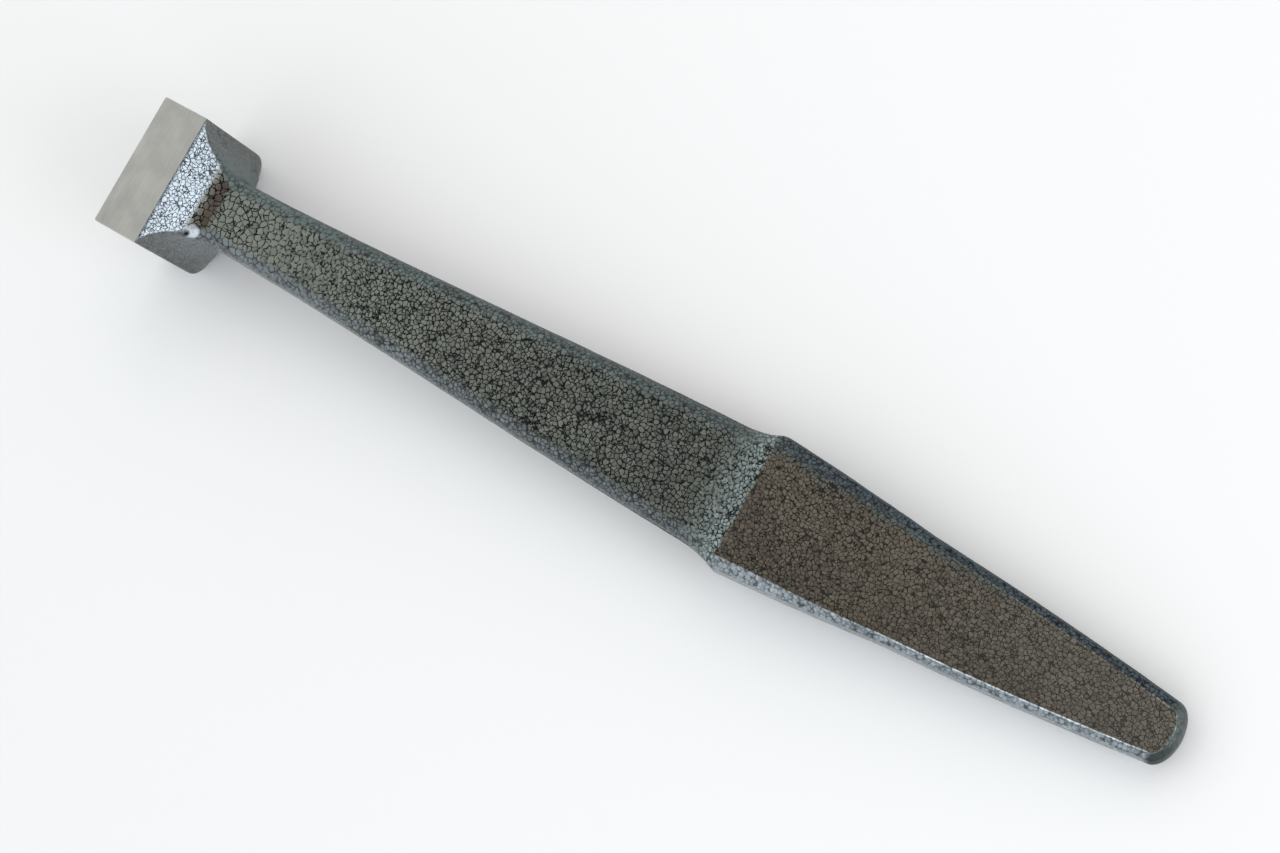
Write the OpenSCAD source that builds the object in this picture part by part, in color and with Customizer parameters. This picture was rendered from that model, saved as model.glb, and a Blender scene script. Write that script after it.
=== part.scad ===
// Panel beating dolly: a T-shaped anvil head, a flat grip and a long prying tang.
// The real tool is one drop forging, enamelled all over and ground bare on its working face.
// It is drawn here as the zones that a die maker would name. Neighbouring zones meet face to face
// on flat planes, and one section rule shapes every zone behind the head, so no step shows.
// X runs along the tool from head to nose, Y across it, and Z out of the working face.
// The origin is the centre of the working face.

/* [Anvil head] */
// Width of the working face, across the tool
face_w = 39.6; // [36:0.2:42]
// Length of the working face, along the tool
face_l = 15.4; // [11:0.2:19]
// Height of the head, from the working face to its foot
head_h = 36; // [32:0.5:42]
// Depth of the bare ground skin at the working face
ground_depth = 0.5; // [0.3:0.1:1.2]
// Radius of the head's lower corners
foot_r = 6; // [3:0.5:7]
// Radius of the head's lower front edge
foot_edge_r = 1.5; // [0.5:0.25:2.5]
// Width of the broken edge round the working face
edge_break = 0.25; // [0.1:0.05:0.4]

/* [Neck] */
// Length over which the flanks sweep from the head down to the grip
neck_l = 12.5; // [12:0.5:18]
// Steepness of the upper and lower webs, in degrees
web_angle = 50; // [44:1:58]
// Radius at the foot of each web
web_foot_r = 7.5; // [3:0.5:8]
// Radius of the upper web's edges where they leave the working face
web_top_r = 0.6; // [0.4:0.1:1.5]
// Radius of the crisp edge between web and flank, half way down the neck
web_edge_r = 1.2; // [0.8:0.1:2]
// Distance behind the head over which the corner radii of the head run out
corner_run_l = 3.5; // [2:0.25:5]

/* [Grip] */
// Distance from the back of the head to the crest of the shoulder
grip_l = 186.6; // [160:0.2:220]
// Width of the grip at its waist, next to the head
waist_w = 20.6; // [18:0.2:24]
// Width of the grip where the shoulder begins
palm_w = 33.4; // [30:0.2:35]
// Thickness of the grip at its waist
waist_t = 16; // [14:0.5:18]
// Thickness of the grip where the shoulder begins
palm_t = 11; // [10:0.5:13]
// Radius of the grip's long edges
grip_r = 4.5; // [3:0.25:5]
// How much narrower each side is where the grip's edge radius ends, from forging draft
grip_draft = 0.3; // [0.1:0.05:0.6]

/* [Shoulder] */
// Width of the shoulder at its crest
shoulder_w = 38.6; // [36:0.2:42]
// Thickness of the shoulder at its crest
shoulder_t = 14; // [13:0.25:16]
// Length over which the shoulder sweeps up and out from the grip
shoulder_l = 12; // [8:0.5:16]

/* [Tang] */
// Distance from the crest of the shoulder to the tip of the nose
tang_l = 118; // [95:1:140]
// Distance from the crest to the slight waist in the tang's outline
tang_waist_l = 45; // [36:1:55]
// Width of the tang at that waist
tang_waist_w = 29.7; // [26:0.2:32]
// Width of the tang where the nose begins
tang_end_w = 16.2; // [14:0.2:20]
// Thickness of the tang where the nose begins
tang_end_t = 9; // [7:0.25:11]
// Outward bow of each side between crest and waist
bow_near = 0.3; // [0:0.05:0.6]
// Outward bow of each side between waist and nose
bow_far = 0.6; // [0:0.05:1]
// Width of the bevel along the tang's edges, at the crest of the shoulder
bevel_crest_w = 3.5; // [2:0.1:3.8]
// Width of that bevel from the tang's waist to the nose
bevel_w = 1.9; // [1.2:0.1:2.2]
// Height of that bevel
bevel_h = 1.4; // [1:0.1:2.2]
// How much narrower each side is where the tang's bevel ends, from forging draft
tang_draft = 0.6; // [0.4:0.1:1.4]

/* [Nose] */
// Length of the rounded nose, along the tool
nose_l = 4.6; // [3.5:0.2:6]
// How far the nose rounds back from its tip to the flats above and below
nose_round = 2.6; // [1.6:0.2:3.2]

/* [Parting line] */
// Height of the trimmed land all round at mid-thickness
land_h = 1.6; // [1:0.1:2]

/* [Hidden] */

$fn = 64;

enamel = "#4c544e";
tang_enamel = "#4a443a";
bare_steel = "#b0aea8";

// Stations along the tool, measured from the front of the head
head_end = face_l;
neck_end = face_l + neck_l;
crest = face_l + grip_l;
shoulder_start = crest - shoulder_l;
tip = crest + tang_l;
nose_start = tip - nose_l;
tang_waist = crest + tang_waist_l;

// Steps round each corner of a section, and round the nose
corner_n = 6;
nose_turns = 24;

// Steps along each zone
neck_steps = 14;
grip_steps = 24;
shoulder_steps = 10;
near_steps = 8;
far_steps = 12;

// Fullness of a section's corner, from a flat bevel at 0 to a true quarter round
quarter = 0.5523;
bevel_bulge = 0.06;

// Least height of the side that is left between a corner and the parting land
least_side = 0.3;

// Pulls on the curve of the grip's sides: nearly parallel at the waist, straight at the palm
waist_hold = 0.08;
palm_hold = 0.8;

// The flank is an arc in plan, tangent to the grip's side and ending at the head's back corner
flank_rise = (face_w - waist_w) / 2;
flank_r = (neck_l * neck_l + flank_rise * flank_rise) / (2 * flank_rise);

// The web is a straight slope that an arc eases into the grip's flat at the foot
web_ease = web_foot_r * tan(web_angle / 2);
web_run = (head_h - waist_t) / 2 / tan(web_angle);
web_foot = head_end + web_run;

function mix(a, b, s) = a + (b - a) * s;
function clamp01(s) = min(1, max(0, s));
function along(x, a, b) = clamp01((x - a) / (b - a));
function smooth(s) = s * s * (3 - 2 * s);
function bow(s) = 4 * s * (1 - s);
function bezier(a, b, c, d, s) =
    a * pow(1 - s, 3) + 3 * b * s * pow(1 - s, 2) + 3 * c * s * s * (1 - s) + d * pow(s, 3);

// Half width of the grip: a parallel waist that opens into a long even taper
function grip_half(x) =
    let (s = along(x, neck_end, shoulder_start))
    mix(waist_w, palm_w, bezier(0, waist_hold, palm_hold, 1, s)) / 2;

// Slope of the grip's side where the shoulder takes over, which the shoulder carries on
palm_slope = 3 * (1 - palm_hold) * (palm_w - waist_w) / 2 / (shoulder_start - neck_end);

function shoulder_half(x) =
    let (s = along(x, shoulder_start, crest), run = x - shoulder_start)
    let (straight_end = palm_w / 2 + palm_slope * shoulder_l)
    palm_w / 2 + palm_slope * run + (shoulder_w / 2 - straight_end) * s * s;

function tang_half(x) =
    x < tang_waist
    ? mix(shoulder_w, tang_waist_w, along(x, crest, tang_waist)) / 2
        + bow_near * bow(along(x, crest, tang_waist))
    : mix(tang_waist_w, tang_end_w, along(x, tang_waist, nose_start)) / 2
        + bow_far * bow(along(x, tang_waist, nose_start));

function flank_half(x) = waist_w / 2 + flank_r - sqrt(flank_r * flank_r - pow(neck_end - x, 2));

function half_width(x) =
    x < neck_end ? flank_half(x)
    : x < shoulder_start ? grip_half(x)
    : x < crest ? shoulder_half(x)
    : tang_half(x);

// Half thickness of the webs: the slope, then the easing arc, then the grip's flat
function web_half(x) =
    let (from_arc = x - (web_foot - web_ease * cos(web_angle)))
    let (to_flat = web_foot + web_ease - x)
    from_arc < 0 ? head_h / 2 - (x - head_end) * tan(web_angle)
    : to_flat > 0 ? waist_t / 2 + web_foot_r - sqrt(web_foot_r * web_foot_r - to_flat * to_flat)
    : waist_t / 2;

function half_thick(x) =
    x < neck_end ? web_half(x)
    : x < shoulder_start ? mix(waist_t, palm_t, along(x, neck_end, shoulder_start)) / 2
    : x < crest ? mix(palm_t, shoulder_t, pow(along(x, shoulder_start, crest), 2)) / 2
    : mix(shoulder_t, tang_end_t, along(x, crest, nose_start)) / 2;

// How far the section has turned from the grip's soft edges to the tang's crisp bevels
function crisp(x) = smooth(along(x, shoulder_start, crest));

// Edge of a section: its inset, its drop, the side's draft below it and its roundness
function bevel(x) = mix(bevel_crest_w, bevel_w, smooth(along(x, crest, tang_waist)));
function edge_inset(x, r) = mix(r, bevel(x), crisp(x));
function edge_drop(x, r) = mix(r, bevel_h, crisp(x));
function side_draft(x) =
    grip_draft * along(x, head_end, neck_end) * (1 - crisp(x)) + tang_draft * crisp(x);
function roundness(x) = mix(quarter, bevel_bulge, crisp(x));

// One corner of a section, from its flat to its side, as [y, height] pairs
function corner(x, r) =
    let (w = half_width(x), t = half_thick(x), land = land_h / 2, k = roundness(x))
    let (drop = min(edge_drop(x, r), t - land - least_side))
    let (inset = edge_inset(x, r) * drop / edge_drop(x, r), side = w - side_draft(x))
    concat(
        [for (i = [0:corner_n]) let (s = i / corner_n)
            [bezier(side - inset, side - inset + k * inset, side, side, s),
             bezier(t, t, t - drop + k * drop, t - drop, s)]],
        [[w, land]]);

// Corner radius of a section. The head's own radius runs out into the crisp edge between web and
// flank, which then opens into the grip's soft edge
corner_end = head_end + corner_run_l;
function neck_r(x, head_r) =
    x < corner_end
    ? mix(head_r, web_edge_r, smooth(along(x, head_end, corner_end)))
    : mix(web_edge_r, grip_r, smooth(along(x, corner_end, neck_end)));

function reversed(v) = [for (i = [len(v) - 1:-1:0]) v[i]];

// Levels of a section on its +Y side, from the lowest up. On the neck, each web takes the levels on
// its own side of the parting plane
function above(x) = let (u = corner(x, neck_r(x, web_top_r))) reversed(u);
function below(x) = let (d = corner(x, neck_r(x, foot_r))) [for (p = d) [p[0], -p[1]]];
function whole(x) = concat(below(x), above(x));
function upper(x) = concat([[half_width(x), 0]], above(x));
function lower(x) = concat(below(x), [[half_width(x), 0]]);

// A ring goes up the levels on the +Y side and down them again on the other
function ring(x, levels) = concat(
    [for (p = levels) [x, p[0], p[1]]],
    [for (p = reversed(levels)) [x, -p[0], p[1]]]);

// Flat cap of a ring whose two ends mirror each other, as strips from side to side
function cap(n) =
    let (half = floor(n / 2))
    concat(
        [for (j = [0:half - 2]) each [[j, j + 1, n - 2 - j], [j, n - 2 - j, n - 1 - j]]],
        n % 2 == 1 ? [[half - 1, half, half + 1]] : []);

// Solid lofted through the given rings, with a flat cap at each end
module loft(rings) {
    n = len(rings[0]);
    last = (len(rings) - 1) * n;
    points = [for (r = rings, p = r) p];
    sides = [for (i = [0:n:last - n], j = [0:n - 1]) let (a = i + j, b = i + (j + 1) % n)
        each [[a, b + n, b], [a, a + n, b + n]]];
    start_cap = cap(n);
    end_cap = [for (f = cap(n)) [last + f[2], last + f[1], last + f[0]]];
    polyhedron(points = points, faces = concat(sides, start_cap, end_cap), convexity = 4);
}

function evenly(a, b, n) = [for (i = [0:n]) mix(a, b, i / n)];

// Stations down the neck, one for each equal turn of the flank's arc
flank_turn = asin(neck_l / flank_r);
neck_stations = [for (a = evenly(flank_turn, 0, neck_steps)) neck_end - flank_r * sin(a)];

// One level round the nose: a half ellipse through the tang's own end section at that level, drawn
// back from the tip by the bullnose
function nose_ring(p) =
    let (land = land_h / 2, rise = along(abs(p[1]), land, half_thick(nose_start)))
    let (reach = nose_l - nose_round * (1 - sqrt(1 - rise * rise)))
    [for (a = evenly(-90, 90, nose_turns)) [nose_start + reach * cos(a), p[0] * sin(a), p[1]]];

// Puts the centre of the working face at the origin
module in_place() {
    translate([-face_l / 2, 0, -head_h / 2]) children();
}

// Outline of the head seen from the front: square shoulders above, rounded corners below
module head_front() {
    difference() {
        translate([-face_w / 2, -head_h / 2]) square([face_w, head_h - ground_depth]);
        for (side = [-1, 1]) {
            translate([side * face_w / 2, -head_h / 2]) difference() {
                square(2 * foot_r, center = true);
                translate([-side * foot_r, foot_r]) circle(foot_r);
            }
        }
    }
}

// Bare ground steel: the working face itself, with its front and side edges just broken
module working_face() {
    color(bare_steel) in_place() difference() {
        translate([0, -face_w / 2, head_h / 2 - ground_depth]) cube([face_l, face_w, ground_depth]);
        translate([0, 0, head_h / 2]) rotate([0, 45, 0])
            cube([edge_break * sqrt(2), 2 * face_w, edge_break * sqrt(2)], center = true);
        for (side = [-1, 1]) {
            translate([0, side * face_w / 2, head_h / 2]) rotate([45, 0, 0])
                cube([4 * face_l, edge_break * sqrt(2), edge_break * sqrt(2)], center = true);
        }
    }
}

// The T-shaped block across the end of the tool that carries the working face
module anvil_head() {
    color(enamel) in_place() difference() {
        rotate([90, 0, 90]) linear_extrude(face_l) head_front();
        translate([0, 0, -head_h / 2]) difference() {
            cube([2 * foot_edge_r, 2 * face_w, 2 * foot_edge_r], center = true);
            translate([foot_edge_r, 0, foot_edge_r]) rotate([90, 0, 0])
                cylinder(r = foot_edge_r, h = 3 * face_w, center = true);
        }
    }
}

// Upper half of the neck: the web that slopes from the back of the working face to the grip
module upper_web() {
    color(enamel) in_place() loft([for (x = neck_stations) ring(x, upper(x))]);
}

// Lower half of the neck: the same web below, which backs up the foot of the head
module lower_web() {
    color(enamel) in_place() loft([for (x = neck_stations) ring(x, lower(x))]);
}

// Flat bar that the hand holds: wider and thinner towards the shoulder, with soft long edges
module grip() {
    stations = evenly(neck_end, shoulder_start, grip_steps);
    color(enamel) in_place() loft([for (x = stations) ring(x, whole(x))]);
}

// Where the grip sweeps up and out to the crest, and its soft edges turn crisp
module shoulder() {
    stations = evenly(shoulder_start, crest, shoulder_steps);
    color(enamel) in_place() loft([for (x = stations) ring(x, whole(x))]);
}

// Tapered tang with bevelled edges, for prying and for spooning behind a panel
module pry_tang() {
    near = [for (i = [0:near_steps - 1]) mix(crest, tang_waist, i / near_steps)];
    far = evenly(tang_waist, nose_start, far_steps);
    color(tang_enamel) in_place() loft([for (x = concat(near, far)) ring(x, whole(x))]);
}

// Rounded end of the tang, whose levels carry the tang's bevels and parting land round the tip
module nose() {
    color(tang_enamel) in_place() loft([for (p = whole(nose_start)) nose_ring(p)]);
}

working_face();
anvil_head();
upper_web();
lower_web();
grip();
shoulder();
pry_tang();
nose();
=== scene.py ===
import math

import bmesh
import bpy
import numpy as np
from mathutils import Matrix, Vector


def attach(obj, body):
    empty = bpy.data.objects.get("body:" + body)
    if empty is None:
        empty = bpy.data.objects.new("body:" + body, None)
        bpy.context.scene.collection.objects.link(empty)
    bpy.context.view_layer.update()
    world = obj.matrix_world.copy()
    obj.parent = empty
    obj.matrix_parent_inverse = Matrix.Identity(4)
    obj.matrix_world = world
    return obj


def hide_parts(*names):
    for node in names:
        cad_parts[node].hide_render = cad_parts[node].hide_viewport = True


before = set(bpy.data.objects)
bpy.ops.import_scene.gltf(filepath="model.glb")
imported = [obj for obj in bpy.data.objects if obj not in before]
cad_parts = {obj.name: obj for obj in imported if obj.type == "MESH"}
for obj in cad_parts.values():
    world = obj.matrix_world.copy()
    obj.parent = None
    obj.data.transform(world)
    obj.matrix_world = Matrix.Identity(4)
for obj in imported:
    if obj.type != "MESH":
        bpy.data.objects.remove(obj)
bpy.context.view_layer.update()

for left_over in ("Cube", "Light", "Camera"):
    if left_over in bpy.data.objects:
        bpy.data.objects.remove(bpy.data.objects[left_over])

# THE FORGING, from the neck back to the nose
# The tool is one drop forging of medium-carbon steel. Behind its head it is a single bar whose
# section follows one rule from the webs of the neck to the bullnose. The die leaves soft edges on
# the grip, crisp bevels on the tang and a trimmed land at mid-thickness.


class Wire:
    """A socket in a node tree. Sums on it add Math nodes, and add() gives any other node."""

    def __init__(self, tree, socket=None):
        self.tree, self.socket = tree, socket

    def add(self, kind, settings={}, sockets={}, out=0):
        node = self.tree.nodes.new(kind)
        for name, value in settings.items():
            setattr(node, name, value)
        for name, value in sockets.items():
            if isinstance(value, Wire):
                self.tree.links.new(value.socket, node.inputs[name])
            else:
                node.inputs[name].default_value = value
        return Wire(self.tree, node.outputs[out] if node.outputs else None)

    def math(self, operation, *values):
        return self.add("ShaderNodeMath", {"operation": operation}, dict(enumerate(values)))

    def __add__(self, other):
        return self.math("ADD", self, other)

    def __sub__(self, other):
        return self.math("SUBTRACT", self, other)

    def __mul__(self, other):
        return self.math("MULTIPLY", self, other)

    def __truediv__(self, other):
        return self.math("DIVIDE", self, other)

    def __pow__(self, other):
        return self.math("POWER", self, other)

    def __radd__(self, other):
        return self.math("ADD", other, self)

    def __rsub__(self, other):
        return self.math("SUBTRACT", other, self)

    def __rmul__(self, other):
        return self.math("MULTIPLY", other, self)

    def __neg__(self):
        return 0 - self

    def __lt__(self, other):
        return self.math("LESS_THAN", self, other)

    def __gt__(self, other):
        return self.math("GREATER_THAN", self, other)

    def __abs__(self):
        return self.math("ABSOLUTE", self)

    def root(self):
        return self.math("SQRT", self.math("MAXIMUM", self, 0.0))

    def sine(self):
        return self.math("SINE", self)

    def cosine(self):
        return self.math("COSINE", self)

    def least(self, other):
        return self.math("MINIMUM", self, other)

    def most(self, other):
        return self.math("MAXIMUM", self, other)

    def share(self, low, high):
        """How far it has come from low to high, between 0 and 1."""
        way = self.math("DIVIDE", self - low, high - low)
        way.socket.node.use_clamp = True
        return way

    def ease(self):
        """A share from 0 to 1, slow at both ends."""
        return self * self * (3 - 2 * self)

    def axis(self, number):
        """One coordinate of a vector: 0, 1 or 2 for x, y or z."""
        return self.add("ShaderNodeSeparateXYZ", sockets={0: self}, out=number)

    def noise(self, scale, detail, out=0, **more):
        """Noise at the places of this vector: a number, or a vector with out=1."""
        return self.add("ShaderNodeTexNoise", {"noise_dimensions": "3D"}, {
            "Vector": self, "Scale": scale, "Detail": detail, **more}, out=out)

    def between(self, none, full):
        """The colour that this mask mixes, from the first at 0 to the second at 1."""
        return self.add("ShaderNodeMix", {"data_type": "RGBA"}, {
            "Factor": self, 6: none, 7: full}, out=2)


# Millimetres and radians
forging_sizes = {
    "Face width": 39.6, "Face length": 15.4, "Head height": 36.0,
    "Neck length": 12.5, "Web angle": math.radians(50), "Web foot radius": 7.5,
    "Foot radius": 6.0, "Web top radius": 0.6, "Web edge radius": 1.2, "Corner run": 3.5,
    "Grip length": 186.6, "Waist width": 20.6, "Palm width": 33.4,
    "Waist thickness": 16.0, "Palm thickness": 11.0, "Grip radius": 4.5, "Grip draft": 0.3,
    "Shoulder width": 38.6, "Shoulder thickness": 14.0, "Shoulder length": 12.0,
    "Tang length": 118.0, "Tang waist length": 45.0, "Tang waist width": 29.7,
    "Tang end width": 16.2, "Tang end thickness": 9.0, "Near bow": 0.3, "Far bow": 0.6,
    "Bevel crest width": 3.5, "Bevel width": 1.9, "Bevel height": 1.4, "Tang draft": 0.6,
    "Nose length": 4.6, "Nose round": 2.6, "Land height": 1.6,
    "Paint round": 0.45, "Corner break": 0.5, "Unevenness": 0.10,
}

# Places along the tool, from the middle of the working face
face_end = forging_sizes["Face length"] / 2
web_foot_at = (face_end + (forging_sizes["Head height"] - forging_sizes["Waist thickness"]) / 2
               / math.tan(forging_sizes["Web angle"]))
web_foot_run = forging_sizes["Web foot radius"] * math.tan(forging_sizes["Web angle"] / 2)
web_end = round(web_foot_at - web_foot_run * math.cos(forging_sizes["Web angle"]), 1)
foot_end = round(web_foot_at + web_foot_run, 1)
crest_at = face_end + forging_sizes["Grip length"]
tang_waist_at = crest_at + forging_sizes["Tang waist length"]
nose_at = crest_at + forging_sizes["Tang length"] - forging_sizes["Nose length"]


def new_finish(name):
    """A material with an empty tree, and a wire to build it with."""
    finish = bpy.data.materials.new(name)
    finish.use_nodes = True
    finish.node_tree.nodes.clear()
    return finish, Wire(finish.node_tree)


# Hammered enamel draws up into small domes with seams between them. It lies in wide plates
# next to the head, in finer cells on the web and the tang, and thin on edges and sides. Light
# and shade are painted into its colour: painted shade in the seams and on the sides of each dome,
# tints by the way that the metal faces as painted light and reflection, and a brown painted
# reflection past the crest. Its places are in millimetres, and the pushed ones are moved about,
# so that no seam runs straight.
enamel, coat = new_finish("hammered_enamel")
where = coat.add("ShaderNodeVectorMath", {"operation": "SCALE"}, {
    0: coat.add("ShaderNodeTexCoord", out=3), "Scale": 1000.0})
along_tool, across = where.axis(0), where.axis(1)
facing = coat.add("ShaderNodeNewGeometry", out=1)
turned, level = facing.axis(1), abs(facing.axis(2))
push = 1.1
pushed = coat.add("ShaderNodeVectorMath", {"operation": "MULTIPLY_ADD"}, {
    0: where.noise(1.1, 2.0, out=1), 1: (push, push, push), 2: where})
depths = where.noise(0.9, 2.0)
grain = where.noise(4.5, 2.0)
mottle = where.noise(0.07, 3.0)


def near(places, centre, full, none):
    """1 close to a point and 0 away from it."""
    return 1 - coat.add("ShaderNodeVectorMath", {"operation": "DISTANCE"}, {
        0: places, 1: centre}, out=1).share(full, none)


# Parts of the surface: 1 on the part and 0 off it. The near side is -Y and the far side is +Y
near_side, far_side = (-turned).share(0.05, 0.40), turned.share(0.03, 0.30)
far_flank = turned.share(0.80, 0.98) * along_tool.share(14.0, 20.0)
head = 1 - along_tool.share(face_end + 0.1, web_end + 0.2)
front = abs(facing.axis(0)).share(0.80, 0.97) * (1 - along_tool.share(0.0, 7.0))
web = (1 - along_tool.share(web_end - 0.1, web_end + 0.7)) * level.share(0.45, 0.60)
plates = 1 - along_tool.share(28.0, 80.0)
bevel = along_tool.share(crest_at - 0.3, crest_at + 1.7) * (1 - level.share(0.945, 0.985))
near_bevel, far_bevel = bevel * (-turned).share(0.05, 0.15), bevel * turned.share(0.05, 0.15)
nose = along_tool.share(nose_at - 1.2, nose_at + 0.8) * (1 - level.share(0.93, 0.99))
nose_near = nose * (-across).share(0.0, 7.5)
# A smooth spot of enamel at the foot of the web, without cells, that is also a painted highlight,
# with a small dark spot within it
smooth_spot_and_highlight = near(pushed, (16.2, -8.8, -8.8), 1.7, 2.5)
dark_spot = near(where, (14.5, -10.4, -9.0), 0.4, 1.3)
flat = level.share(0.05, 0.75).most(web).most(front) * (1 - nose) * (1 - smooth_spot_and_highlight)


def cells(per_mm):
    """Rise of the hammered domes, the seam round each dome, and each dome's own tone."""
    sockets = {"Vector": pushed, "Scale": per_mm, "Randomness": 1.0}
    middle = coat.add("ShaderNodeTexVoronoi", {"feature": "F1"}, sockets)
    seam = coat.add("ShaderNodeTexVoronoi", {"feature": "DISTANCE_TO_EDGE"}, sockets)
    tone = coat.add("ShaderNodeSeparateColor", sockets={
        0: coat.add("ShaderNodeTexVoronoi", {"feature": "F1"}, sockets, out=1)})
    return 1 - middle.share(0.42, 0.95).ease(), seam, tone


behind_web = along_tool.share(web_end + 0.2, web_end + 0.7)
grip_cells = behind_web * (1 - along_tool.share(crest_at - 14.3, crest_at - 1.3))
plate_cells = behind_web * (1 - along_tool.share(30.0, 75.0))
rise, seam, tone = cells(0.92)
for wider, per_mm in ((grip_cells, 0.80), (plate_cells, 0.56)):
    new_rise, new_seam, new_tone = cells(per_mm)
    rise = rise + (new_rise - rise) * wider
    seam = seam + (new_seam - seam) * wider
    tone = tone + (new_tone - tone) * wider

seam_width = 0.06 + (0.20 + 0.08 * grip_cells - 0.16 * plates + 0.06 * web) * depths ** 1.5
seam_depth = ((0.34 + 0.66 * flat).most(0.65 * head) * (1 - 0.25 * bevel) * (1 - 0.6 * near_bevel)
              * (1 - 0.35 * (1 - bevel) * abs(turned).share(0.03, 0.25)))
seam = (1 - (1 - seam.share(0.02, seam_width).ease()) * seam_depth) * (1 - dark_spot)
seam = seam * (1 - 0.7 * web * (1 - along_tool.share(face_end + 0.1, face_end + 0.6)))
rise = 1 - (1 - rise) * (0.25 + 0.75 * flat).most(0.5 * head)
relief = (0.5 - 0.2 * web) * seam + (0.5 - 0.4 * web) * rise + 0.08 * grain

# The painted brown reflection on the tang's top ends cell by cell, and a little askew, at the
# crest
past_crest = pushed.axis(0) - 0.5 + 0.03 * across + 1.1 * tone
on_tang = past_crest.share(crest_at - 0.1, crest_at + 0.7)
brown = on_tang * level.share(0.94, 0.985)
# Painted highlight: a pale band on the shoulder's flat just before the crest
below_crest = along_tool.share(crest_at - 13.3, crest_at - 2.3) * (1 - on_tang) * flat
# Painted reflection of the brown overhead, in the hollow at the foot of the web
painted_foot_reflection = (along_tool.share(web_end, web_end + 1.0)
              * (1 - along_tool.share(foot_end - 1.6, foot_end))
              * level.share(0.55, 0.90) * (1 - abs(across).share(6.0, 8.5)))
# Along the tang's far edge: a lighter ochre streak where the edge rounds over towards the nose,
# and towards the crest the painted brown reflection gives way to grey-green at the edge of the
# flat
far_edge_streak = (along_tool.share(245.0, 265.0) * turned.share(0.04, 0.10) * level.share(0.88, 0.93)
             * mottle.share(0.35, 0.6))
crest_flat, waist_flat, end_flat = (
    forging_sizes[width] / 2 - forging_sizes[edge] - forging_sizes["Tang draft"]
    for width, edge in (("Shoulder width", "Bevel crest width"),
                        ("Tang waist width", "Bevel width"), ("Tang end width", "Bevel width")))
flat_edge = (crest_flat - 0.4 - 2.2 * tone
             + (waist_flat - crest_flat) * along_tool.share(crest_at, tang_waist_at)
             + (end_flat - waist_flat) * along_tool.share(tang_waist_at, nose_at))
green_edge = (brown * (across - flat_edge).share(0.0, 0.8)
              * (1 - along_tool.share(248.0, 275.0)))

# How bright each place is: painted shade in the seams and on the sides of each dome, a random
# tone per dome with mottle and grain, and painted light that fades along the grip, lifts at the
# shoulder, and brightens the tang towards its far side and towards the nose
light = (seam * (1 - (0.84 - 0.49 * plates) * (1 - rise))
         * (0.72 + 0.56 * tone) * (0.68 + 0.64 * mottle) * (0.8 + 0.4 * grain)
         * (1.02 - 0.14 * along_tool.share(20.0, 75.0) - 0.23 * along_tool.share(75.0, 185.0)
            + 0.10 * along_tool.share(185.0, 200.0))
         * (1 + (0.05 + 0.012 * across + 0.08 * along_tool.share(230.0, 300.0))
            * along_tool.share(crest_at - 1.3, crest_at + 5.7)))
pale = (0.175, 0.187, 0.158, 1)
for mask, tint in (
        # painted light and reflection: the sides are tinted darker and bluer than the top, by the
        # way they face
        (near_side, (0.130, 0.148, 0.152, 1)),
        (far_side, (0.112, 0.142, 0.140, 1)),
        # painted highlight: a pale teal band on the shoulder's flat just before the crest
        (below_crest, (0.28, 0.335, 0.325, 1)),
        # painted reflection: the tang's top is tinted brown, lighter towards the nose, for the
        # brown overhead that it mirrors
        (brown, (0.160, 0.135, 0.102, 1)),
        (brown * along_tool.share(235.0, 300.0), (0.168, 0.154, 0.126, 1)),
        # painted reflection: brown in the hollow at the foot of the web
        (painted_foot_reflection, (0.112, 0.088, 0.070, 1)),
        # painted shade: the far bevel is tinted dark navy
        (far_bevel, (0.066, 0.085, 0.100, 1)),
        # a lighter ochre streak on the far rounded edge, towards the nose
        (far_edge_streak, (0.24, 0.20, 0.15, 1)),
        # painted shade: the steep far sides behind the head are tinted dark
        (far_flank, (0.060, 0.074, 0.082, 1)),
        # painted reflection and highlight: the near bevel is pale blue-grey, paler on the rounded
        # edge above it, and that edge is a bright line towards the nose
        (near_bevel, (0.32, 0.362, 0.39, 1)),
        (near_bevel * level.share(0.83, 0.88), (0.40, 0.44, 0.47, 1)),
        (near_bevel * level.share(0.825, 0.85) * along_tool.share(225.0, 250.0),
         (0.85, 0.90, 0.92, 1)),
        # the painted brown reflection gives way to grey-green at the far edge of the flat, towards
        # the crest
        (green_edge, (0.105, 0.128, 0.115, 1)),
        (nose, (0.098, 0.120, 0.112, 1)),
        # painted shade: the near side of the nose is darker
        (nose_near, (0.020, 0.027, 0.027, 1)),
        # painted highlight: a broken light line where the flat rounds into the nose
        (nose * level.share(0.88, 0.95) * depths.share(0.40, 0.55), (0.36, 0.40, 0.41, 1)),
        (head, (0.145, 0.151, 0.147, 1)),
        # painted highlight: the sloping web is tinted pale blue-grey
        (web, (0.41, 0.46, 0.50, 1)),
        # painted highlight: the smooth spot at the web's foot is pale, apart from its dark spot
        (smooth_spot_and_highlight * (1 - dark_spot), (0.55, 0.59, 0.63, 1))):
    pale = mask.between(pale, tint)
dark = (0.004, 0.006, 0.005, 1)
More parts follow.
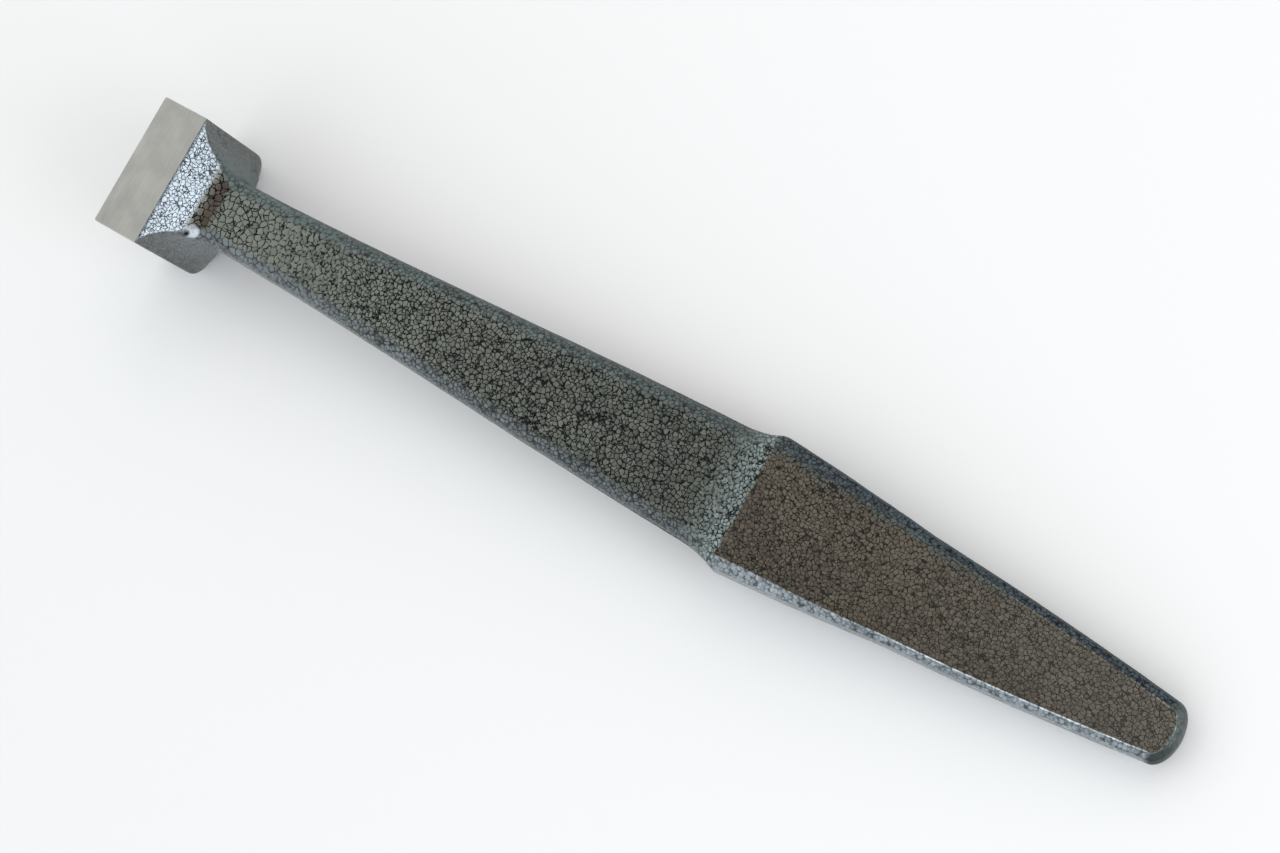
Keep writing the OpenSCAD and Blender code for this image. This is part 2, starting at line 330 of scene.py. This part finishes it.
# seam colours: darker brown under the painted brown reflection, and lighter under the web's
# painted highlight
for mask, tint in ((brown, (0.018, 0.014, 0.011, 1)),
                   (brown * along_tool.share(225.0, 295.0), (0.040, 0.034, 0.027, 1)),
                   (web * (1 - dark_spot), (0.045, 0.056, 0.066, 1))):
    dark = mask.between(dark, tint)
colour = light.between(dark, pale)
dome_height = 0.00024
bump = coat.add("ShaderNodeBump", sockets={
    "Height": relief, "Strength": 1.0, "Distance": dome_height})
gloss = coat.add("ShaderNodeBsdfPrincipled", sockets={
    "Base Color": colour, "Roughness": 0.62 - 0.36 * seam + 0.10 * web, "Metallic": 0.35,
    "Normal": bump, "Coat Weight": 0.35 * seam * flat, "Coat Roughness": 0.08})
dull = coat.add("ShaderNodeBsdfPrincipled", sockets={
    "Base Color": colour, "Roughness": 1.0, "Specular IOR Level": 0.0, "Normal": bump})
# Painted shade: the dull mix takes the sheen out of the seams and the far side, and half of it out
# of the nose
dullness = ((0.85 * (1 - seam)).most((0.5 + 0.3 * bevel) * turned.share(0.15, 0.50))
            .most(0.5 * nose))
coat.add("ShaderNodeOutputMaterial", sockets={
    "Surface": coat.add("ShaderNodeMixShader", sockets={0: dullness, 1: gloss, 2: dull})})

zone_steps = {"neck": 46, "grip": 150, "shoulder": 26, "near": 46, "far": 70, "nose": 20}
level_steps = {"flat": 8, "upper edge": 5, "corner": 10, "lower edge": 5, "side": 4, "land": 2}
rings = sum(zone_steps.values()) + 1
quarter_steps = sum(level_steps.values())
ring_points = 4 * quarter_steps

forging_rule = bpy.data.node_groups.new("forging_rule", "GeometryNodeTree")
forging_rule.interface.new_socket("Geometry", in_out="OUTPUT", socket_type="NodeSocketGeometry")
input_keys = {}
for name, value in forging_sizes.items():
    entry = forging_rule.interface.new_socket(name, in_out="INPUT", socket_type="NodeSocketFloat")
    entry.default_value = value
    input_keys[name] = entry.identifier
entry = forging_rule.interface.new_socket(
    "Finish", in_out="INPUT", socket_type="NodeSocketMaterial")
input_keys["Finish"] = entry.identifier
sizes_in = forging_rule.nodes.new("NodeGroupInput")
size = {name: Wire(forging_rule, sizes_in.outputs[name]) for name in input_keys}
rule = Wire(forging_rule)

# A grid one unit apart: its X counts the rings and its Y the points round each ring
net = rule.add("GeometryNodeMeshGrid", sockets={
    "Size X": float(rings - 1), "Size Y": float(ring_points - 1),
    "Vertices X": rings, "Vertices Y": ring_points})
place = rule.add("GeometryNodeInputPosition")
ring_no = place.axis(0) + (rings - 1) / 2
level_no = place.axis(1) + (ring_points - 1) / 2

# Stations along the tool, from the front of the head
head_end = size["Face length"]
neck_end = head_end + size["Neck length"]
crest = head_end + size["Grip length"]
shoulder_start = crest - size["Shoulder length"]
tang_waist = crest + size["Tang waist length"]
nose_start = crest + size["Tang length"] - size["Nose length"]
flank_rise = (size["Face width"] - size["Waist width"]) / 2
flank_radius = (size["Neck length"] ** 2 + flank_rise ** 2) / (2 * flank_rise)
flank_turn = rule.math("ARCSINE", size["Neck length"] / flank_radius)

# The rings crowd together on both sides of the crest, where the section changes fastest
way, passed = {}, 0
for zone, steps in zone_steps.items():
    way[zone] = ring_no.share(passed, passed + steps)
    passed += steps
crowding_before, crowding_after = 1.3, 1.4
x = (neck_end - flank_radius * (flank_turn * (1 - way["neck"])).sine()
     + way["grip"] * (shoulder_start - neck_end)
     + (1 - (1 - way["shoulder"]) ** crowding_before) * size["Shoulder length"]
     + way["near"] ** crowding_after * size["Tang waist length"]
     + way["far"] * (nose_start - tang_waist))

# Half width of the section
along_grip = x.share(neck_end, shoulder_start)
along_shoulder = x.share(shoulder_start, crest)
along_near = x.share(crest, tang_waist)
along_far = x.share(tang_waist, nose_start)
# How long each end of the grip keeps its width, as the inner points of the curve between them
waist_hold, palm_hold = 0.08, 0.8
opening = (3 * waist_hold * along_grip * (1 - along_grip) ** 2
           + 3 * palm_hold * along_grip ** 2 * (1 - along_grip) + along_grip ** 3)
palm_rise = (size["Palm width"] - size["Waist width"]) / 2
grip_half = size["Waist width"] / 2 + palm_rise * opening
palm_slope = 3 * (1 - palm_hold) * palm_rise / (shoulder_start - neck_end)
shoulder_half = (size["Palm width"] / 2 + palm_slope * (x - shoulder_start)
                 + (size["Shoulder width"] / 2 - size["Palm width"] / 2
                    - palm_slope * size["Shoulder length"]) * along_shoulder ** 2)
tang_half = (size["Shoulder width"] / 2
             + along_near * (size["Tang waist width"] - size["Shoulder width"]) / 2
             + along_far * (size["Tang end width"] - size["Tang waist width"]) / 2
             + 4 * size["Near bow"] * along_near * (1 - along_near)
             + 4 * size["Far bow"] * along_far * (1 - along_far))
flank_half = (size["Waist width"] / 2 + flank_radius
              - (flank_radius ** 2 - (neck_end - x).most(0.0) ** 2).root())
# The small round at the back corners of the head, which holds only as far as it reaches
back_break = size["Corner break"]
break_start = head_end - back_break * rule.math("TANGENT", flank_turn / 2)
back_half = (size["Face width"] / 2 - back_break
             + (back_break ** 2 - (x - break_start).least(back_break) ** 2).root())
elsewhere = 99
flank_half = flank_half.least(back_half + elsewhere * (x > break_start + back_break))


def pick(mask, yes, no):
    return no + (yes - no) * mask


hair = 0.001
half_width = pick(x < neck_end - hair, flank_half,
                  pick(x < shoulder_start, grip_half, pick(x < crest, shoulder_half, tang_half)))

# Half thickness of the section: sloping web, arc at its foot, grip, shoulder, tang
web_angle = size["Web angle"]
slope = rule.math("TANGENT", web_angle)
web_foot = head_end + (size["Head height"] - size["Waist thickness"]) / 2 / slope
web_ease = size["Web foot radius"] * rule.math("TANGENT", web_angle / 2)
to_flat = (web_foot + web_ease - x).most(0.0)
web_arc = (size["Waist thickness"] / 2 + size["Web foot radius"]
           - (size["Web foot radius"] ** 2 - to_flat ** 2).root())
web_slope = size["Head height"] / 2 - (x - head_end) * slope
web_half = pick(x < web_foot - web_ease * web_angle.cosine(), web_slope, web_arc)
half_thick = pick(
    x < neck_end - hair, web_half,
    size["Waist thickness"] / 2
    + along_grip * (size["Palm thickness"] - size["Waist thickness"]) / 2
    + along_shoulder ** 2 * (size["Shoulder thickness"] - size["Palm thickness"]) / 2
    + x.share(crest, nose_start) * (size["Tang end thickness"] - size["Shoulder thickness"]) / 2)

# One quarter of the section: flat, painted edge, corner, painted edge, side and land
level_turn = level_no / quarter_steps
above = 1 - (level_turn > 1) * (level_turn < 3)
right = level_turn < 2
step = quarter_steps - abs(
    rule.math("WRAP", level_no, 2.0 * quarter_steps, 0.0) - quarter_steps)
run, passed = {}, 0
for part, steps in level_steps.items():
    run[part] = step.share(passed, passed + steps)
    passed += steps

# How full a corner is: a bevel is nearly flat, and the other is a quarter round
bevel_fullness, round_fullness = 0.06, 0.5523
crisp = along_shoulder.ease()
corner_end = head_end + size["Corner run"]
corner_radius = pick(
    x < corner_end,
    pick(above, size["Web top radius"], size["Foot radius"])
    * (1 - x.share(head_end, corner_end).ease())
    + size["Web edge radius"] * x.share(head_end, corner_end).ease(),
    size["Web edge radius"]
    + (size["Grip radius"] - size["Web edge radius"]) * x.share(corner_end, neck_end).ease())
bevel_width = pick(along_near.ease(), size["Bevel width"], size["Bevel crest width"])
inset_full = pick(crisp, bevel_width, corner_radius)
drop_full = pick(crisp, size["Bevel height"], corner_radius)
fullness = pick(crisp, bevel_fullness, round_fullness)
land = size["Land height"] / 2
least_side = 0.3
drop = drop_full.least(half_thick - land - least_side)
inset = inset_full * drop / drop_full
draft = (size["Grip draft"] * x.share(head_end, neck_end) * (1 - crisp)
         + size["Tang draft"] * crisp)
side = half_width - draft


def cubic(a, b, c, d, s):
    t = 1 - s
    return a * t ** 3 + 3 * b * s * t ** 2 + 3 * c * s ** 2 * t + d * s ** 3


def corner_y(s):
    return cubic(side - inset, side - inset + fullness * inset, side, side, s)


def corner_z(s):
    low = half_thick - drop
    return cubic(half_thick, half_thick, low + fullness * drop, low, s)


def rounded(a, b, c, s):
    return a * (1 - s) ** 2 + 2 * b * s * (1 - s) + c * s ** 2


# The enamel rounds both edges of the corner, and never takes more of it than these shares
most_of_inset, most_of_corner = 0.45, 0.4
paint = size["Paint round"].least(inset * most_of_inset)
cut = (paint / (inset ** 2 + drop ** 2).root()).least(most_of_corner)
first_y, first_z = corner_y(cut), corner_z(cut)
second_y, second_z = corner_y(1 - cut), corner_z(1 - cut)
side_top = half_thick - drop
low_paint = paint.least((side_top - land) / 2)
end_y, end_z = side + draft * low_paint / (side_top - land), side_top - low_paint
y = ((side - inset - paint) * run["flat"]
     + rounded(side - inset - paint, side - inset, first_y, run["upper edge"])
     - (side - inset - paint)
     + corner_y(cut + (1 - 2 * cut) * run["corner"]) - first_y
     + rounded(second_y, side, end_y, run["lower edge"]) - second_y
     + (half_width - end_y) * run["side"])
z = (rounded(half_thick, half_thick, first_z, run["upper edge"])
     + corner_z(cut + (1 - 2 * cut) * run["corner"]) - first_z
     + rounded(second_z, side_top, end_z, run["lower edge"]) - second_z
     + (land - end_z) * run["side"] - land * run["land"])

# Bullnose: each level of the last section is drawn round the tip as half an ellipse
rise = z.share(land, half_thick)
reach = size["Nose length"] - size["Nose round"] * (1 - (1 - rise ** 2).root())
nose_turn = way["nose"] * (math.pi / 2)
x = x + reach * nose_turn.sine()
y = y * nose_turn.cosine()

point = rule.add("ShaderNodeCombineXYZ", sockets={
    0: x - size["Face length"] / 2, 1: y * (2 * right - 1),
    2: z * (2 * above - 1) - size["Head height"] / 2})
laid = rule.add("GeometryNodeSetPosition", sockets={"Geometry": net, "Position": point})

# The die wears and the trimmed forging is tumbled, so no flat is quite flat
laid_at = rule.add("GeometryNodeInputPosition")
depth = (size["Unevenness"] * laid_at.noise(0.09, 2.0).share(0.3, 0.7)
         * laid_at.axis(0).share(8.0, 20.0))
sunk = rule.add("ShaderNodeVectorMath", {"operation": "SCALE"}, {
    0: rule.add("GeometryNodeInputNormal"), "Scale": -depth})
worn = rule.add("GeometryNodeSetPosition", sockets={"Geometry": laid, "Offset": sunk})
small = rule.add("GeometryNodeTransform", sockets={
    "Geometry": worn, "Scale": (0.001, 0.001, 0.001)})
whole = rule.add("GeometryNodeRealizeInstances", sockets={"Geometry": small})
coated = rule.add("GeometryNodeSetMaterial", sockets={
    "Geometry": whole, "Material": size["Finish"]})
rule.add("NodeGroupOutput", sockets={"Geometry": coated})

forging = bpy.data.objects.new("forging", bpy.data.meshes.new("forging"))
bpy.context.scene.collection.objects.link(forging)
press = forging.modifiers.new("press", "NODES")
press.node_group = forging_rule
for name, value in {**forging_sizes, "Finish": enamel}.items():
    press[input_keys[name]] = value
pressed = bpy.data.meshes.new_from_object(
    forging.evaluated_get(bpy.context.evaluated_depsgraph_get()))
bpy.data.objects.remove(forging)

# Points of the whole bar in metres, by ring and then by place round the ring from the top's middle
net_points = np.empty(3 * rings * ring_points)
pressed.vertices.foreach_get("co", net_points)
net_points = net_points.reshape(rings, ring_points, 3)
bpy.data.meshes.remove(pressed)


def faces_between(ring_numbers, columns, width, closed):
    """Quads between neighbouring rings, wound so that they face outwards."""
    pairs = list(zip(columns, columns[1:]))
    if closed:
        pairs.append((columns[-1], columns[0]))
    return [(i * width + a, i * width + b, (i + 1) * width + b, (i + 1) * width + a)
            for i in ring_numbers[:-1] for a, b in pairs]


def smooth_normals(points, faces):
    """Normal at each point, in which a large face counts for more than a narrow one."""
    sums = np.zeros_like(points)
    for face in faces:
        loop = points[list(face)]
        area = np.cross(loop, np.roll(loop, -1, axis=0)).sum(axis=0)
        sums[list(face)] += area
    lengths = np.linalg.norm(sums, axis=1, keepdims=True)
    return sums / np.where(lengths > 0, lengths, 1)


same_place = 2e-7


def make_piece(name, node, points, normals, sides, caps, material):
    """A closed piece: its sides shaded by the given normals, and flat caps."""
    used = sorted({v for face in sides + caps for v in face})
    number = {v: k for k, v in enumerate(used)}
    mesh = bpy.data.meshes.new(name)
    mesh.from_pydata(points[used].tolist(), [],
                     [[number[v] for v in face] for face in sides + caps])
    shade = mesh.attributes.new("shade", "FLOAT_VECTOR", "CORNER")
    corner_normals = [normals[v] for face in sides for v in face]
    for face in caps:
        loop = points[list(face)]
        flat = np.cross(loop, np.roll(loop, -1, axis=0)).sum(axis=0)
        corner_normals += [flat / np.linalg.norm(flat)] * len(face)
    shade.data.foreach_set("vector", np.array(corner_normals).ravel())
    shell = bmesh.new()
    shell.from_mesh(mesh)
    bmesh.ops.remove_doubles(shell, verts=shell.verts, dist=same_place)
    shell.to_mesh(mesh)
    shell.free()
    mesh.shade_smooth()
    kept = np.empty(3 * len(mesh.loops))
    mesh.attributes["shade"].data.foreach_get("vector", kept)
    mesh.normals_split_custom_set(kept.reshape(-1, 3).tolist())
    mesh.attributes.remove(mesh.attributes["shade"])
    mesh.materials.append(material)
    piece = bpy.data.objects.new(name, mesh)
    bpy.context.scene.collection.objects.link(piece)
    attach(piece, "root")
    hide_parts(node)
    return piece


# The bar is shaded as one piece, so no seam shows where two zones meet
all_rings, all_columns = list(range(rings)), list(range(ring_points))
bar_points = net_points.reshape(-1, 3)
bar_normals = smooth_normals(
    bar_points, faces_between(all_rings, all_columns, ring_points, True))
tip_normals = bar_normals[-ring_points:]
tip_normals[:, 1] = 0
tip_normals /= np.linalg.norm(tip_normals, axis=1, keepdims=True)


def ring_cap(ring, columns, start):
    cap = [ring * ring_points + c for c in columns]
    return cap[::-1] if start else cap


zone_rings, passed = {}, 0
for zone, steps in zone_steps.items():
    zone_rings[zone] = list(range(passed, passed + steps + 1))
    passed += steps
zone_rings["tang"] = zone_rings["near"] + zone_rings["far"][1:]
for zone, node in (("grip", "grip"), ("shoulder", "shoulder"), ("tang", "pry_tang"),
                   ("nose", "nose")):
    numbers = zone_rings[zone]
    caps = [ring_cap(numbers[0], all_columns, True)]
    if zone != "nose":
        caps.append(ring_cap(numbers[-1], all_columns, False))
    make_piece("forged_" + zone, node, bar_points, bar_normals,
               faces_between(numbers, all_columns, ring_points, True), caps, enamel)

# The neck is parted at mid-thickness, into its upper and its lower web
upper_columns = list(range(3 * quarter_steps, ring_points)) + list(range(quarter_steps + 1))
lower_columns = list(range(quarter_steps, 3 * quarter_steps + 1))
neck_rings = zone_rings["neck"]
for zone, columns in (("upper_web", upper_columns), ("lower_web", lower_columns)):
    parting = ([i * ring_points + columns[-1] for i in neck_rings]
               + [i * ring_points + columns[0] for i in neck_rings[::-1]])
    caps = [ring_cap(neck_rings[0], columns, True), ring_cap(neck_rings[-1], columns, False),
            parting[::-1]]
    make_piece("forged_" + zone, zone, bar_points, bar_normals,
               faces_between(neck_rings, columns, ring_points, False), caps, enamel)


# THE ANVIL HEAD
# The block across the end of the forging, up to the ground skin. It is as forged and enamelled:
# a flat front with small broken edges, a rounded lower front edge and rounded lower corners.
head_width, head_length, head_height, foot_radius, corner_break = (
    forging_sizes[name] for name in (
        "Face width", "Face length", "Head height", "Foot radius", "Corner break"))
ground_depth, foot_edge = 0.5, 1.5
# The flanks of the neck meet the back corners at this angle
neck_length = forging_sizes["Neck length"]
flank_in = (head_width - forging_sizes["Waist width"]) / 2
back_turn = math.asin(neck_length * 2 * flank_in / (neck_length ** 2 + flank_in ** 2))
back_start = head_length - corner_break * math.tan(back_turn / 2)


def drawn_in(radius, way):
    """How far a rounded edge has drawn in, at this distance short of its flat."""
    way = min(radius, max(0.0, way))
    return radius - math.sqrt(radius ** 2 - way ** 2)


def head_half_width(x):
    return (head_width / 2 - drawn_in(corner_break, corner_break - x)
            - drawn_in(corner_break, x - back_start))


def evenly(start, end, count):
    """Places from start, which is left out, to end."""
    return [start + (end - start) * k / count for k in range(1, count + 1)]


edge_steps, back_steps, top_steps, side_steps, corner_steps, foot_steps = 12, 5, 6, 8, 14, 4
middle_stations = [4, 8, 12]
head_stations = [foot_edge * (1 - math.cos(turn))
                 for turn in [0] + evenly(0, math.pi / 2, edge_steps)]
head_stations += middle_stations + [back_start] + evenly(back_start, head_length, back_steps)
head_points = []
for x in head_stations:
    half, foot = head_half_width(x), -head_height + drawn_in(foot_edge, foot_edge - x)
    low = foot + foot_radius
    right = [(y, -ground_depth) for y in [0] + evenly(0, half, top_steps)]
    right += [(half, z) for z in evenly(-ground_depth, low, side_steps)]
    right += [(half - foot_radius * (1 - math.cos(turn)), low - foot_radius * math.sin(turn))
              for turn in evenly(0, math.pi / 2, corner_steps)]
    right += [(y, foot) for y in evenly(half - foot_radius, 0, foot_steps)]
    left = [(-y, z) for y, z in right[-2:0:-1]]
    head_points += [(x - head_length / 2, y, z) for y, z in right + left]
head_points = np.array(head_points) / 1000
ring_size = len(head_points) // len(head_stations)
head_rings, head_columns = list(range(len(head_stations))), list(range(ring_size))
under_skin = set(head_columns[:top_steps + 1] + head_columns[-top_steps:])
head_faces = faces_between(head_rings, head_columns, ring_size, True)
head_top = [f for f in head_faces if {v % ring_size for v in f} <= under_skin]
head_sides = [f for f in head_faces if f not in head_top]
head_front = head_columns[::-1]
head_back = [head_rings[-1] * ring_size + c for c in head_columns]
make_piece("forged_head", "anvil_head", head_points,
           smooth_normals(head_points, head_sides + [head_front]),
           head_sides, head_top + [head_front, head_back], enamel)

# THE WORKING FACE
# The top of the head, ground flat and left bare. The wheel leaves fine lines across the tool, the
# front and side edges are just broken, and the enamel stops in a crisp line below them.
ground, wheel = new_finish("ground_steel")
spot = wheel.add("ShaderNodeVectorMath", {"operation": "SCALE"}, {
    0: wheel.add("ShaderNodeTexCoord", out=3), "Scale": 1000.0})
drawn_out = wheel.add("ShaderNodeVectorMath", {"operation": "MULTIPLY"}, {
    0: spot, 1: (1.0, 0.03, 0.3)})
lines = drawn_out.noise(2.2, 5.0, Roughness=0.7)
clouds = spot.noise(0.12, 2.0)
steel_tone = lines.share(0.30, 0.70) * 0.5 + clouds.share(0.3, 0.7) * 0.5
scratches = wheel.add("ShaderNodeBump", sockets={
    "Height": lines, "Strength": 0.35, "Distance": 0.00002})
steel = wheel.add("ShaderNodeBsdfPrincipled", sockets={
    "Base Color": steel_tone.between((0.31, 0.30, 0.285, 1), (0.49, 0.465, 0.435, 1)),
    "Roughness": 0.34 + 0.18 * lines, "Metallic": 0.9, "Normal": scratches})
wheel.add("ShaderNodeOutputMaterial", sockets={"Surface": steel})

edge_break = 0.25
plan_x = [corner_break * (1 - math.cos(turn))
          for turn in [0] + evenly(0, math.pi / 2, side_steps)]
plan_x += middle_stations + [back_start] + evenly(back_start, head_length, back_steps)
# Heights with how far each is drawn in: two on the side, and two that break the edge
half_way = 0.29
plate_levels = ((-ground_depth, 0.0), (-edge_break, 0.0),
                (-edge_break * half_way, edge_break * half_way), (0.0, edge_break))
plate_points = []
for z, inwards in plate_levels:
    scale_x = (head_length - inwards) / head_length
    plan = [(head_length - (head_length - x) * scale_x, head_half_width(x) - inwards)
            for x in plan_x]
    outline = plan + [(x, -y) for x, y in plan[::-1]]
    plate_points += [(x - head_length / 2, y, z) for x, y in outline]
plate_points = np.array(plate_points) / 1000
outline_size = len(plate_points) // len(plate_levels)
outline_columns = list(range(outline_size))
plate_sides = [face[::-1] for face in faces_between(
    list(range(len(plate_levels))), outline_columns, outline_size, True)]
plate_top = [(len(plate_levels) - 1) * outline_size + c for c in outline_columns[::-1]]
plate = make_piece("ground_face", "working_face", plate_points,
                   smooth_normals(plate_points, plate_sides + [plate_top]),
                   plate_sides, [plate_top, outline_columns], ground)
# The enamel comes up to the broken edge
plate.data.materials.append(enamel)
for face in plate.data.polygons:
    if face.center.z < -edge_break / 1000 and abs(face.normal.z) < 0.5:
        face.material_index = 1

# THE TABLE, THE LIGHT AND THE CAMERA
# The tool lies on a pale sheet, on the back edge of its foot and the underside of its nose, so the
# sheet leans by the angle between them. Soft walls light it evenly, with one broad lamp on the far
# side of the tool and one beyond its nose.
nose_under = (head_height + forging_sizes["Tang end thickness"]) / 2
heel_gap, nose_gap = 0.01, 0.02
rest_heel = (face_end / 1000, -(head_height + heel_gap) / 1000)
rest_nose = (nose_at / 1000, -(nose_under + nose_gap) / 1000)
lean = math.atan2(rest_nose[1] - rest_heel[1], rest_nose[0] - rest_heel[0])
table = bpy.data.meshes.new("table")
reach = 3.0
table.from_pydata(
    [(rest_heel[0] + a * math.cos(lean), b, rest_heel[1] + a * math.sin(lean))
     for a, b in ((-reach, -reach), (reach, -reach), (reach, reach), (-reach, reach))],
    [], [(0, 1, 2, 3)])
sheet = bpy.data.objects.new("table", table)
bpy.context.scene.collection.objects.link(sheet)
paper = bpy.data.materials.new("pale_sheet")
paper.use_nodes = True
paper_shader = paper.node_tree.nodes["Principled BSDF"]
paper_shader.inputs["Base Color"].default_value = (0.88, 0.865, 0.86, 1)
paper_shader.inputs["Roughness"].default_value = 0.8
table.materials.append(paper)

world = bpy.data.worlds.new("studio")
bpy.context.scene.world = world
world.use_nodes = True
world.node_tree.nodes.clear()
sky = Wire(world.node_tree)
way_out = sky.add("ShaderNodeTexCoord")
way_x, way_y, way_z = (way_out.axis(k) for k in range(3))
# The walls are dark low on the far side, bright on the near side and past the head, and brown
# right overhead, because the enamel mirrors them
walls = (0.84, 0.832, 0.822, 1)
for mask, tint in (
        (way_y.share(0.5, 0.95) * (1 - way_z.share(0.1, 0.5)), (0.26, 0.29, 0.32, 1)),
        ((-way_y).share(0.35, 0.75) * (1 - way_z.share(0.68, 0.82)), (1.25, 1.36, 1.48, 1)),
        ((-way_x).share(0.40, 0.72) * (1 - way_z.share(0.80, 0.93)), (1.35, 1.48, 1.47, 1)),
        (way_z.share(0.86, 0.96), (0.26, 0.23, 0.20, 1))):
    walls = mask.between(walls, tint)
# The walls light the tool, and the camera sees a plain pale backdrop in their place
fill = sky.add("ShaderNodeBackground", sockets={"Color": walls, "Strength": 1.0})
white = sky.add("ShaderNodeBackground", sockets={"Color": (0.95, 0.95, 0.96, 1), "Strength": 1.0})
seen = sky.add("ShaderNodeLightPath")
sky.add("ShaderNodeOutputWorld", sockets={
    "Surface": sky.add("ShaderNodeMixShader", sockets={0: seen, 1: fill, 2: white})})

tool_middle = Vector((0.14, 0.0, -0.018))
for name, stand, breadth, power, tint in (
        ("lamp_far_side", (0.0, 1.75, 1.15), 2.0, 8.5, (1.0, 0.985, 0.97)),
        ("lamp_nose_end", (1.80, 0.06, 0.80), 1.0, 12.0, (0.84, 0.92, 1.0))):
    lamp_data = bpy.data.lights.new(name, "AREA")
    lamp_data.size, lamp_data.energy, lamp_data.color = breadth, power, tint
    lamp = bpy.data.objects.new(name, lamp_data)
    lamp.location = stand
    lamp.rotation_euler = (tool_middle - Vector(stand)).to_track_quat("-Z", "Y").to_euler()
    lamp.visible_camera = False
    bpy.context.scene.collection.objects.link(lamp)

# The place, turn and lens that fit the tool's outline, seen from above its nose
lens = bpy.data.cameras.new("camera")
lens.lens, lens.sensor_width = 59.06, 36.0
lens.clip_start, lens.clip_end = 0.01, 20.0
camera = bpy.data.objects.new("camera", lens)
camera.location = (0.35724, -0.01660, 0.48248)
camera.rotation_euler = (0.226502, 0.309595, 0.546364)
bpy.context.scene.collection.objects.link(camera)
bpy.context.scene.camera = camera
bpy.context.scene.view_settings.view_transform = "Standard"
